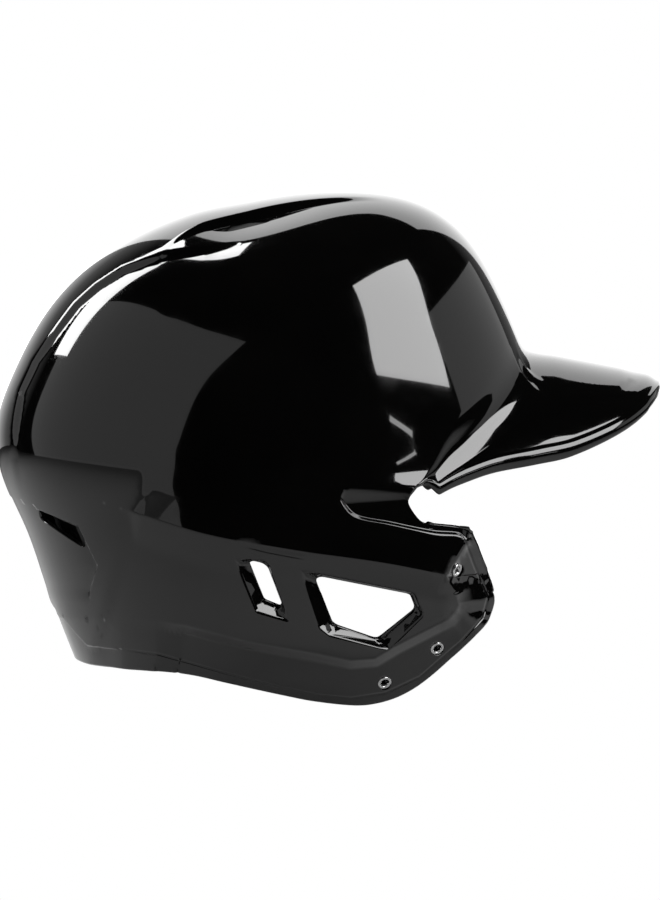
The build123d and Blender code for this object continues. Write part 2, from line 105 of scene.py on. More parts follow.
NAPE_LINE = [(-64.1, 25.3), (-78.4, 25.8), (-91.5, 38.2), (-101, 47)]
STEP = [
    (-10.6, 204.6), (-22.1, 202.5), (-44.4, 197.4), (-61.4, 191.4), (-72.9, 184.4), (-82.2, 176.5),
    (-90.6, 165.4), (-100.8, 151.7), (-107.1, 138.3), (-109.3, 121.7), (-110.3, 108.4), (-108.7, 96.8),
    (-107.2, 91.4),
]
# Beside the crown's spine, seen from above: X and distance from the middle.
SPINE = [(-44, 55), (-36, 50), (-26, 46), (-5, 43), (23, 39), (50, 35)]
CROWN_VENT = [(-24, 50.5), (-16, 53), (2, 51), (7, 46.5), (-16, 48.5)]


# ---- curves and distances -------------------------------------------------------------------
def periodic(angles, values):
    """A smooth closed curve through values at angles."""
    order = np.argsort(angles)
    a, v = np.array(angles)[order], np.array(values, float)[order]
    gap = np.diff(np.append(a, a[0] + 2 * math.pi))
    count = len(a)
    system, right = np.zeros((count, count)), np.zeros(count)
    for i in range(count):
        before, after, j = gap[i - 1], gap[i], (i + 1) % count
        system[i, i - 1] += before
        system[i, i] += 2 * (before + after)
        system[i, j] += after
        right[i] = 6 * ((v[j] - v[i]) / after - (v[i] - v[i - 1]) / before)
    bend = np.linalg.solve(system, right)

    def value(angle):
        x = a[0] + (np.asarray(angle) - a[0]) % (2 * math.pi)
        i = np.clip(np.searchsorted(a, x, side="right") - 1, 0, count - 1)
        j, h, t = (i + 1) % count, gap[i], x - a[i]
        u = h - t
        return (bend[i] * u**3 + bend[j] * t**3) / (6 * h) + (
            v[i] / h - bend[i] * h / 6) * u + (v[j] / h - bend[j] * h / 6) * t

    return value


reach = periodic(
    [math.atan2(z - HUB[1], x - HUB[0]) % (2 * math.pi) for x, z in PROFILE],
    [math.hypot(x - HUB[0], z - HUB[1]) for x, z in PROFILE],
)
edge_points = [(math.atan2(y, x - FAN), math.hypot(x - FAN, y)) for x, y in BILL_EDGE]
bill_reach = periodic(
    [a for a, _ in edge_points] + [-a for a, _ in edge_points[:-1]]
    + [math.radians(d) for d in (130, 180, 230)],
    [r for _, r in edge_points] + [r for _, r in edge_points[:-1]] + [80, 80, 80],
)


def smooth(t):
    t = np.clip(t, 0, 1)
    return t * t * (3 - 2 * t)


def upper(a, b, soft):
    return 0.5 * (a + b + np.sqrt((a - b) ** 2 + soft * soft))


def lower(a, b, soft):
    return 0.5 * (a + b - np.sqrt((a - b) ** 2 + soft * soft))


def resample(points, step, closed=False):
    """Points every step along a polyline, its corners kept."""
    points = [np.array(p, float) for p in points]
    if closed:
        points.append(points[0])
    out = []
    for a, b in zip(points, points[1:]):
        count = max(1, int(round(np.linalg.norm(b - a) / step)))
        out += [a + (b - a) * i / count for i in range(count)]
    if not closed:
        out.append(points[-1])
    return np.array(out)


def rounded(points, step):
    """A smooth curve through points, sampled about every step."""
    pts = np.array(points, float)
    count = len(pts)
    out = []
    for i in range(count - 1):
        p1, p2 = pts[i], pts[i + 1]
        p0 = pts[i - 1] if i else 2 * p1 - p2
        p3 = pts[i + 2] if i + 2 < count else 2 * p2 - p1
        d0, d1, d2 = (
            max(1e-6, np.linalg.norm(b - a) ** 0.5) for a, b in ((p0, p1), (p1, p2), (p2, p3))
        )
        m1 = (p1 - p0) / d0 - (p2 - p0) / (d0 + d1) + (p2 - p1) / d1
        m2 = (p2 - p1) / d1 - (p3 - p1) / (d1 + d2) + (p3 - p2) / d2
        m1, m2 = m1 * d1, m2 * d1
        steps = max(1, int(round(np.linalg.norm(p2 - p1) / step)))
        for k in range(steps):
            t = k / steps
            out.append(
                (2 * t**3 - 3 * t**2 + 1) * p1 + (t**3 - 2 * t**2 + t) * m1
                + (3 * t**2 - 2 * t**3) * p2 + (t**3 - t**2) * m2
            )
    out.append(pts[-1])
    return np.array(out)


def away(x, z, line, closed=False):
    """Signed distance from a polyline (above 0 to its right) and the place along it."""
    line = np.array(line, float)
    if closed:
        line = np.vstack([line, line[:1]])
    best = np.full(len(x), 1e9)
    sign = np.ones(len(x))
    place = np.zeros(len(x))
    for i, (a, b) in enumerate(zip(line, line[1:])):
        d = b - a
        size = d @ d
        raw = ((x - a[0]) * d[0] + (z - a[1]) * d[1]) / size
        t = np.clip(raw, 0, 1)
        dx, dz = x - a[0] - t * d[0], z - a[1] - t * d[1]
        dist = np.hypot(dx, dz)
        side = np.where(d[0] * dz - d[1] * dx > 0, -1.0, 1.0)
        # Where two runs are equally near, the one met more squarely gives the side.
        square = np.abs(d[0] * dz - d[1] * dx) / (math.sqrt(size) * np.maximum(dist, 1e-9))
        score = dist - 1e-4 * square
        near = score < best
        best = np.where(near, score, best)
        sign = np.where(near, side, sign)
        place = np.where(near, i + t, place)
    dist = np.maximum(best + 1e-4, 0)
    return sign * dist, place


def inside(x, z, loop):
    loop = np.array(loop, float)
    hit = np.zeros(len(x), bool)
    for (ax, az), (bx, bz) in zip(loop, np.roll(loop, -1, 0)):
        if az == bz:
            continue
        cross = ((az > z) != (bz > z)) & (x < (bx - ax) * (z - az) / (bz - az) + ax)
        hit ^= cross
    return hit


# ---- the form -------------------------------------------------------------------------------
# Each half of the shell is drawn on a disc: the direction is that of the side view, and the
# distance from the middle is the turn from the wearer's side (0) to the middle plane (90
# degrees), at 100 units a radian.
RIM_OF_DISC = 50 * math.pi


def base(p, q, side, inset=0.0):
    beta, alpha = np.hypot(p, q) / 100, np.arctan2(q, p)
    out = np.abs(np.sin(beta)) ** (2 / ROUND) * (reach(alpha) - inset)
    cosine = np.cos(beta)
    across = np.sign(cosine) * np.abs(cosine) ** (2 / ROUND)
    return HUB[0] + out * np.cos(alpha), side * (WIDE - inset) * across, HUB[1] + out * np.sin(alpha)


def to_disc(x, z):
    x, z = np.asarray(x, float), np.asarray(z, float)
    alpha = np.arctan2(z - HUB[1], x - HUB[0])
    share = np.clip(np.hypot(x - HUB[0], z - HUB[1]) / reach(alpha), 0, 1)
    beta = np.arcsin(share ** (ROUND / 2)) * 100
    return beta * np.cos(alpha), beta * np.sin(alpha)


def line_to_disc(points):
    points = np.array(points, float)
    return np.stack(to_disc(points[:, 0], points[:, 1]), 1)


def plan_to_side(x, y):
    """The X and Z of the upper surface over a point seen from above."""
    z = 200.0
    for _ in range(60):
        alpha = math.atan2(z - HUB[1], x - HUB[0])
        far = float(reach(alpha)) * (1 - (abs(y) / WIDE) ** ROUND) ** (1 / ROUND)
        z = HUB[1] + math.sqrt(max(1.0, far * far - (x - HUB[0]) ** 2))
    return x, z


CREASE_LOW = rounded(CREASE_LOW, 3.0)
CREASE_TOP = rounded(CREASE_TOP, 1.5)
FACE_LINE = [p for p, _, _ in FACE]
FACE_BAND = np.array([a for _, a, _ in FACE])
FACE_BORDER = np.array([b for _, _, b in FACE])
# The middle of each insert's mouth.
MOUTHS = [
    Vector(m["pos_m"]) / MM + Vector(m["axis"]).normalized() * m["dims"]["length_mm"] / 2
    for m in frame["record"]["mounts"] if m["name"].startswith("guard_screw")
]
SEATS = [(m.x, m.z) for m in MOUTHS]


def window_fall(x, z, out, hole):
    """How far across a window's splayed edge a point is: 0 outside it, 1 at the hole."""
    a, _ = away(x, z, out, True)
    b, _ = away(x, z, hole, True)
    a, b = np.abs(a), np.abs(b)
    share = a / np.maximum(a + b, 1e-6)
    share = np.where(inside(x, z, out), share, 0)
    return np.where(inside(x, z, hole), 1.0, share)


def flap_reach(x, z, h, fine):
    """How far out the right side is, where the flap changes the rounded form."""
    plane = 99 - math.tan(math.radians(8.25)) * x
    front = smooth((x - 25) / 32) * smooth((104 - z) / 18)
    h = h + front * (upper(h, plane, 3.0) - h)
    soft = 0.5 if fine else 4.0
    # The raised ear bulge: creased below, at its nose and above.
    low, along = away(x, z, CREASE_LOW)
    size = 2.2 * smooth(along / 3.2)
    above = size * np.exp(np.minimum(low, 0) / 24)
    below = size - 0.26 * np.maximum(low, 0)
    bulge = upper(np.where(low > 0, below, above), -0.9 * smooth(along / 3.2) + 0 * x, soft)
    nose, _ = away(x, z, CREASE_NOSE)
    turned = lower(bulge, upper(size - 1.0 * np.maximum(nose, 0), 0 * x - 0.2, soft), soft)
    bulge = np.where((z > 50) & (x > 74), turned, bulge)
    h = h + bulge * smooth((112 - z) / 20)
    if fine:
        top, _ = away(x, z, CREASE_TOP)
        h = h - 1.9 * smooth(-top / 1.5) * smooth((98 - z) / 10) * smooth((91 - x) / 5) * (x > 33.5)
    # The band and the border, falling away to the rim.
    out, along = away(x, z, FACE_LINE)
    index = np.clip(along, 0, len(FACE) - 1.001)
    band = np.interp(index, np.arange(len(FACE)), FACE_BAND)
    border = np.interp(index, np.arange(len(FACE)), FACE_BORDER)
    fall = upper(out, 0 * x, soft) if not fine else upper(out, 0 * x, 0.35)
    first = np.minimum(fall, BAND)
    rest = np.maximum(fall - BAND, 0)
    lowered = band * first + border * rest
    h = h - np.where(z < 82, lowered, lowered * smooth((92 - z) / 10))
    if fine:
        groove, _ = away(x, z, BEAD_LINE)
        h = h - 0.55 * np.exp(-((groove / 0.5) ** 2)) * smooth((x + 64) / 14)
        dash, _ = away(x, z, DASH)
        h = h - 0.45 * np.exp(-((dash / 1.1) ** 2)) * smooth((x + 14) / 12) * smooth((24 - x) / 8)
        h = h - 4.2 * window_fall(x, z, SLOT_OUT, SLOT_IN)
        h = h - 4.4 * window_fall(x, z, WINDOW_OUT, WINDOW_IN)
    # The flap's nose turns a little downwards.
    h = h - 0.2 * np.clip(66 - z, 0, 24) * smooth((x - 79) / 9) * smooth((z - 26) / 18)
    # Holes for the inserts.
    if fine:
        for x0, z0 in SEATS:
            h = h - 3.0 * smooth((2.95 - np.hypot(x - x0, z - z0)) / 0.5)
    return h


def relief(x, y, z, fine):
    """Raised and sunk features, both sides alike, measured along the surface's normal."""
    d = np.zeros_like(x)
    soft = 1.0 if fine else 3.0
    # The raised panel down the middle of the back, with a stepped edge.
    step, _ = away(x, z, STEP)
    panel = smooth((step + 2.0 * soft) / (4.0 * soft))
    d = d + 1.7 * panel * smooth((-5 - x) / 30) * smooth((z - 88) / 44)
    # Hollows beside the crown's spine.
    from_middle = np.abs(y)
    spine = np.interp(x, [p[0] for p in SPINE], [p[1] for p in SPINE])
    deep = 3.8 * smooth((x + 46) / 34) * smooth((56 - x) / 60)
    wall = smooth((from_middle - spine) / (5.0 * soft))
    back = smooth(1 - (from_middle - spine - 4) / 34)
    d = d - deep * wall * back * smooth((z - 150) / 24)
    if fine:
        # The rear corners: a chevron edge with a vent under it.
        edge, _ = away(x, z, CHEVRON)
        rear = (x < -60) & (z < 110)
        fade = np.exp(-np.maximum(edge, 0) / 16) * smooth((z - 44) / 8)
        d = d - np.where(rear, 1.3 * smooth(edge / 1.2) * fade, 0)
        # The nape's turned edge.
        nape, _ = away(x, z, NAPE_LINE)
        d = d - np.where(x < -50, 0.9 * smooth(-nape / 1.2) * smooth((-58 - x) / 12), 0)
    return d


def skin(p, q, side, fine=True):
    """Points of the outer surface."""
    x, y, z = base(p, q, side)
    step = 0.05
    xa, ya, za = base(p + step, q, side)
    xb, yb, zb = base(p, q + step, side)
    u = np.stack([xa - x, ya - y, za - z], 1)
    v = np.stack([xb - x, yb - y, zb - z], 1)
    n = np.cross(u, v) * -side
    n /= np.maximum(np.linalg.norm(n, axis=1, keepdims=True), 1e-12)
    d = relief(x, y, z, fine)
    if side == RIGHT:
        y = -flap_reach(x, z, -y, fine)
    return np.stack([x, y, z], 1) + n * d[:, None]


def skin_normals(p, q, side, fine=True):
    step = 0.12 if fine else 0.6
    u = skin(p + step, q, side, fine) - skin(p - step, q, side, fine)
    v = skin(p, q + step, side, fine) - skin(p, q - step, side, fine)
    n = np.cross(u, v) * -side
    return n / np.maximum(np.linalg.norm(n, axis=1, keepdims=True), 1e-12)


# ---- sheets of triangles --------------------------------------------------------------------
FINE_STEP = 1.3
ROW_SHARE = 0.866  # the height of an even triangle as a share of its side
ROLL_TURNS = 6  # runs of faces over a rounded edge
WELD = 0.02 * MM


class Mesh:
    """Vertices with their normals, and faces, gathered until the object is made."""

    def __init__(self):
        self.points, self.normals, self.faces, self.count = [], [], [], 0

    def add(self, points, normals, faces, flip=False):
        faces, points, normals = np.asarray(faces), np.asarray(points, float), np.asarray(normals, float)
        if normals.any():
            # Faces are wound to agree with the normals.
            a, b, c = (points[faces[:, i]] for i in range(3))
            agree = np.sum(np.cross(b - a, c - a) * normals[faces[:, 0]], axis=1)
            flip = np.sum(agree) < 0
        self.faces += ((faces[:, ::-1] if flip else faces) + self.count).tolist()
        self.points.append(points)
        self.normals.append(normals)
        self.count += len(points)

    def grid(self, points, normals, flip=False, closed=False):
        """Faces over a grid of rows and columns of points."""
        rows, columns = points.shape[:2]
        index = np.arange(rows * columns).reshape(rows, columns)
        if closed:
            index = np.hstack([index, index[:, :1]])
        quads = np.stack([index[:-1, :-1], index[:-1, 1:], index[1:, 1:], index[1:, :-1]], -1)
        self.add(points.reshape(-1, 3), normals.reshape(-1, 3), quads.reshape(-1, 4), flip)

    def made(self, name, custom=True):
        points = np.vstack(self.points) * MM
        normals = np.vstack(self.normals)
        data = bpy.data.meshes.new(name)
        data.from_pydata(points.tolist(), [], self.faces)
        data.update()
        data.polygons.foreach_set("use_smooth", [True] * len(data.polygons))
        if custom:
            data.normals_split_custom_set_from_vertices(normals.tolist())
        piece = bpy.data.objects.new(name, data)
        bpy.context.scene.collection.objects.link(piece)
        return piece


def spread(outline, step, keep_out, dense):
    """Evenly spread points inside an outline and outside its holes: a group of points step
    apart and, where dense says so, a group FINE_STEP apart."""
    outline = np.asarray(outline)
    low, high = outline.min(0), outline.max(0)
    found = []
    for pitch, wanted in ((step, False), (FINE_STEP, True)):
        if wanted and dense is None:
            break
        rows = np.arange(low[1], high[1], pitch * ROW_SHARE)
        columns = np.arange(low[0], high[0], pitch)
        p = (columns[None, :] + pitch / 2 * (np.arange(len(rows)) % 2)[:, None]).ravel()
        q = np.repeat(rows, len(columns))
        keep = inside(p, q, outline)
        for hole in keep_out:
            keep &= ~inside(p, q, hole)
        if dense is not None:
            keep &= dense(p, q) == wanted
        found.append(np.stack([p[keep], q[keep]], 1))
    return found


def triangles(outline, holes, lines, step, dense=None):
    """Triangles over a region of the disc, with lines kept as edges. Gives points and faces."""
    points, edges = [], []
    count = 0
    for loop in (outline, *holes):
        points.append(loop)
        size = len(loop)
        edges += [(count + i, count + (i + 1) % size) for i in range(size)]
        count += size
    border = KD(np.vstack(points))
    for line in lines:
        keep = inside(line[:, 0], line[:, 1], outline)
        for hole in holes:
            keep &= ~inside(line[:, 0], line[:, 1], hole)
        keep &= border.far(line, 0.45)
        points.append(line[keep])
        place = np.cumsum(keep) - 1 + count
        edges += [
            (int(place[i]), int(place[i + 1])) for i in range(len(line) - 1) if keep[i] and keep[i + 1]
        ]
        count += int(keep.sum())
    fixed = np.vstack(points)
    tree = KD(fixed)
    groups = spread(outline, step, holes, dense)
    extra = [g[tree.far(g, 0.62 * pitch)] for g, pitch in zip(groups, (step, FINE_STEP))]
    everything = np.vstack([fixed, *extra])
    out, _, faces, *_ = geometry.delaunay_2d_cdt(
        [Vector(p) for p in everything.tolist()], edges, [], 0, 1e-5
    )
    flat = np.array([tuple(v) for v in out])
    faces = np.array(faces)
    middle = flat[faces].mean(1)
    keep = inside(middle[:, 0], middle[:, 1], outline)
    for hole in holes:
        keep &= ~inside(middle[:, 0], middle[:, 1], hole)
    return flat, faces[keep]


class KD:
    """Which points are farther than a distance from a set of points."""

    def __init__(self, points):
        self.tree = kdtree.KDTree(len(points))
        for i, p in enumerate(points.tolist()):
            self.tree.insert((p[0], p[1], 0), i)
        self.tree.balance()

    def far(self, points, distance):
        return np.array([self.tree.find((p[0], p[1], 0))[2] > distance for p in points.tolist()], bool)


def outward(piece, weld=None):
    """Turns a piece's faces outwards, after joining its points that are nearer than weld."""
    work = bmesh.new()
    work.from_mesh(piece.data)
    if weld is not None:
        bmesh.ops.remove_doubles(work, verts=work.verts, dist=weld)
    bmesh.ops.recalc_face_normals(work, faces=work.faces)
    work.to_mesh(piece.data)
    work.free()


def unit(v):
    return v / np.maximum(np.linalg.norm(v, axis=-1, keepdims=True), 1e-12)


def along_loop(points, closed):
    """The direction of travel at each point of a loop or line."""
    if closed:
        return unit(np.roll(points, -1, 0) - np.roll(points, 1, 0))
    return unit(np.gradient(points, axis=0))


def edge_roll(outer, inner, travel, full):
    """A rounded edge from the outer surface over to the inner one, as rows of points."""
    across = (outer - inner) / 2
    size = np.linalg.norm(across, axis=1, keepdims=True)
    out = unit(np.cross(travel, across))
    middle = (outer + inner) / 2
    rows, normals = [], []
    for k in range(ROLL_TURNS + 1):
        a = math.pi * k / ROLL_TURNS
        rows.append(middle + across * math.cos(a) + out * size * full * math.sin(a))
        normals.append(unit(across / size * math.cos(a) * max(full, 0.3) + out * math.sin(a)))
    return np.stack(rows), np.stack(normals)


# ---- outlines on the disc -------------------------------------------------------------------
def disc_at(x, y, z):
    """The disc's point for a place on the form; y is how far it is from the middle plane."""
    alpha = np.arctan2(z - HUB[1], x - HUB[0])
    beta = 100 * np.arccos(np.clip(np.abs(y) / WIDE, 0, 1) ** (ROUND / 2))
    return np.stack([beta * np.cos(alpha), beta * np.sin(alpha)], -1)


def out_along(x0, y0, dx, dy, z):
    """How far from (x0, y0), along (dx, dy), the form's surface is at height z."""
    low, high = np.zeros_like(z), np.full_like(z, 260.0)
    for _ in range(50):
        mid = (low + high) / 2
        x, y = x0 + mid * dx, y0 + mid * dy
        alpha = np.arctan2(z - HUB[1], x - HUB[0])
        along = np.hypot(x - HUB[0], z - HUB[1]) / reach(alpha)
        out = along**ROUND + (np.abs(y) / WIDE) ** ROUND > 1
        high, low = np.where(out, mid, high), np.where(out, low, mid)
    return low


def bill_top(x, y):
    """The upper sheet of the bill, with its shallow panels."""
    from_middle = np.abs(y)
    z = 158.7 - 0.19 * (x - 124) - 0.0096 * lower(from_middle, 0 * x + 88.0, 3.0) ** 2
    # A raised panel down the middle, narrowing towards the tip.
    edge = np.interp(x, [110, 125, 150, 160, 165.5], [45, 43, 38.5, 35.5, 27])
    raised = smooth((edge - from_middle) / 4 + 0.5) * smooth((166 - x) / 9 + 0.5) * smooth((x - 122) / 14)
    # A sunk panel on each side of it.
    inner_edge = np.interp(x, [118, 123.6, 171], [52, 50.6, 36])
    sunk = smooth((from_middle - inner_edge) / 4 + 0.5)
    return z + 0.5 * raised - 0.8 * sunk * smooth((x - 122) / 16)


FILLET = 8  # runs of faces over the fillet at the bill's root
FANS = np.radians(np.linspace(-73, 73, 245))


def bill_columns():
    cos, sin = np.cos(FANS), np.sin(FANS)
    turn = np.degrees(np.abs(FANS))
    soft = (8 + 10 * smooth(turn / 50)) * smooth((75 - turn) / 15) + 0.01
    low, high = np.full_like(FANS, 70.0), np.full_like(FANS, 215.0)
    for _ in range(50):
        z = (low + high) / 2
        s = out_along(FAN, 0.0, cos, sin, z)
        above = z - bill_top(FAN + s * cos, s * sin) - soft > 0
        high, low = np.where(above, z, high), np.where(above, low, z)
    z = (low + high) / 2
    return out_along(FAN, 0.0, cos, sin, z), z, soft, cos, sin, turn


FAN_S, FAN_Z, FAN_SOFT, FAN_COS, FAN_SIN, FAN_TURN = bill_columns()
BILL_DISC = disc_at(FAN + FAN_S * FAN_COS, FAN_S * FAN_SIN, FAN_Z)


def shell_outline(side):
    """The disc outline of one half: its rim, the bill's root and the middle plane. Gives the
    points and how many of them are rim, and rim with the root."""
    flank = rounded(RIM_RIGHT if side == RIGHT else RIM_LEFT, 1.1)
    x0, z0 = flank[0]
    share = math.hypot(x0 - HUB[0], z0 - HUB[1]) / float(reach(math.atan2(z0 - HUB[1], x0 - HUB[0])))
    y0 = WIDE * (1 - share**ROUND) ** (1 / ROUND)
    # The nape's edge, from the side to the middle plane.
    by = np.linspace(y0, 0, 46)
    bz = z0 + (NAPE_Z - z0) * smooth(np.linspace(0, 1, len(by)) * 1.6)
    bx = -20 - out_along(-20.0, by, -1.0, 0.0, bz)
    back = disc_at(bx, by, bz)[::-1]
    rim = np.vstack([back[:-1], line_to_disc(flank)])
    half = len(FANS) // 2
    root = BILL_DISC[: half + 1] if side == RIGHT else BILL_DISC[half:][::-1]
    start = math.atan2(root[-1][1], root[-1][0])
    end = math.atan2(back[0][1], back[0][0]) % (2 * math.pi)
    turns = np.linspace(start, end, 210)[1:-1]
    arc = np.stack([RIM_OF_DISC * np.cos(turns), RIM_OF_DISC * np.sin(turns)], 1)
    rim_count = len(rim)
    return np.vstack([rim, root, arc]), rim_count, rim_count + len(root)


def beside(line, gap, closed=False):
    """A side-view line moved sideways by gap."""
    line = np.asarray(line, float)
    way = along_loop(line, closed)
    return line + gap * np.stack([way[:, 1], -way[:, 0]], 1)


def softened(loop, radius, step=0.9):
    """A closed outline with its corners rounded."""
    loop = np.asarray(loop, float)
    out = []
    for before, here, after in zip(np.roll(loop, 1, 0), loop, np.roll(loop, -1, 0)):
        one, two = before - here, after - here
        r1 = min(radius, 0.45 * np.linalg.norm(one))
        r2 = min(radius, 0.45 * np.linalg.norm(two))
        a, b = here + unit(one) * r1, here + unit(two) * r2
        for t in (0, 0.25, 0.5, 0.75, 1):
            out.append((1 - t) ** 2 * a + 2 * t * (1 - t) * here + t * t * b)
    kept = [out[0]]
    for p in out[1:]:
        if np.linalg.norm(p - kept[-1]) > 0.25:
            kept.append(p)
    return resample(kept, step, True)


def clockwise(loop, wanted=True):
    x, y = loop[:, 0], loop[:, 1]
    area = np.sum(x * np.roll(y, -1) - np.roll(x, -1) * y)
    return loop if (area < 0) == wanted else loop[::-1]


def vent_on_disc():
    corners = softened(CROWN_VENT, 2.5)
    return clockwise(np.array([disc_at(x, y, plan_to_side(x, y)[1]) for x, y in corners]))


CROWN_HOLE = vent_on_disc()
REAR_HOLE = clockwise(line_to_disc(softened(REAR_VENT, 1.6)))
SLOT_HOLE = clockwise(line_to_disc(softened(SLOT_IN, 1.2)))
WINDOW_HOLE = clockwise(line_to_disc(softened(WINDOW_IN, 2.0)))


def wall_depth(p, q, side):
    """How thick the shell is: more round the flap's windows, whose edges are splayed."""
    depth = np.full_like(p, WALL)
    if side == RIGHT:
        x, _, z = base(p, q, side)
        for loop in (SLOT_OUT, WINDOW_OUT):
            gap, _ = away(x, z, loop, True)
            gap = np.where(inside(x, z, loop), 0, np.abs(gap))
            depth = np.maximum(depth, WALL + 2.0 * smooth(1 - gap / 7))
    return depth


def inner_skin(p, q, side):
    normal = skin_normals(p, q, side, False)
    return skin(p, q, side, False) - normal * wall_depth(p, q, side)[:, None], -normal


def crown_zone(p, q):
    x, y, z = base(p, q, RIGHT)
    return (x < 60) & (z > 150) & (np.abs(y) > 30)


def flap_zone(p, q):
    x, _, z = base(p, q, RIGHT)
    return ((x > -72) & (z < 106)) | crown_zone(p, q)


def circle(middle, r, count=24):
    turns = np.linspace(0, 2 * math.pi, count + 1)
    return np.stack([middle[0] + r * np.cos(turns), middle[1] + r * np.sin(turns)], 1)


def flap_lines():
    """The flap's creases, each with lines close beside it."""
    lines = []
    for line, gaps in (
        (CREASE_LOW, (-0.8, 0, 0.8)), (CREASE_NOSE, (-0.8, 0, 0.8)),
        (CREASE_TOP, (-2.3, -1.6, -1.1, -0.5, 0, 0.8)), (FACE_LINE, (-0.7, 0, 0.7)),
        (BEAD_LINE, (-1.5, -1.0, -0.5, 0, 0.5, 1.0, 1.5)),
        (DASH, (-1.6, -0.8, 0, 0.8, 1.6)),
    ):
        for gap in gaps:
            lines.append(line_to_disc(beside(resample(line, 1.0), gap)))
    for gap in (-0.7, 0, 0.7):
        lines.append(line_to_disc(beside(resample(FACE_LINE[2:12], 1.0), BAND + gap)))
    fold = np.array([(80.9, 57.7), (96.5, 58.1)])
    lines += [line_to_disc(beside(resample(fold, 1.0), gap)) for gap in (-0.6, 0, 0.6)]
    for seat in SEATS:
        lines += [line_to_disc(circle(seat, r)) for r in (1.6, 2.3, 2.65, 3.0, 3.5)]
    for loop in (SLOT_OUT, WINDOW_OUT):
        for gap in (-0.7, 0, 0.7):
            ring = beside(resample(clockwise(np.array(loop, float)), 1.0, True), gap, True)
            lines.append(line_to_disc(np.vstack([ring, ring[:1]])))
    return lines


def shared_lines():
    lines = []
    for line, gaps in ((CHEVRON, (-0.6, 0, 0.6, 1.2)), (NAPE_LINE, (-1.2, -0.6, 0, 0.6))):
        for gap in gaps:
            lines.append(line_to_disc(beside(resample(line, 1.2), gap)))
    spine = resample(SPINE, 1.5)
    for gap in (-1, 0, 1, 2, 3, 4, 5, 6):
        lines.append(np.array([disc_at(x, y + gap, plan_to_side(x, y + gap)[1]) for x, y in spine]))
    return lines


def shell_mesh():
    mesh = Mesh()
    root = {}
    for side in (RIGHT, LEFT):
        outline, rim_count, root_count = shell_outline(side)
        holes = [REAR_HOLE, CROWN_HOLE]
        lines = shared_lines()
        if side == RIGHT:
            holes += [SLOT_HOLE, WINDOW_HOLE]
            lines += flap_lines()
        zone = flap_zone if side == RIGHT else crown_zone
        flat, faces = triangles(outline, holes, lines, 2.3, zone)
        p, q = flat.T
        mesh.add(skin(p, q, side), skin_normals(p, q, side), faces, side == LEFT)
        flat, faces = triangles(outline, holes, (), 5.0)
        points, normals = inner_skin(*flat.T, side)
        mesh.add(points, normals, faces, side == RIGHT)
        # The rims and the holes' edges.
        for number, loop in enumerate((outline[:root_count], *holes)):
            closed = number > 0
            p, q = loop.T
            outer, normal = skin(p, q, side), skin_normals(p, q, side)
            inner, _ = inner_skin(p, q, side)
            travel = along_loop(outer, closed) * -side
            if not closed:
                travel[0] = (0, 1, 0)
            rows, normals = edge_roll(outer, inner, travel, 0.25 if closed else 1.0)
            if not closed:
                root[side] = [a[..., rim_count:, :] for a in (outer, inner, normal, rows)]
                rows, normals = rows[:, : rim_count + 1], normals[:, : rim_count + 1]
            mesh.grid(rows, normals, side == LEFT, closed)
    add_bill(mesh, root)
    return mesh


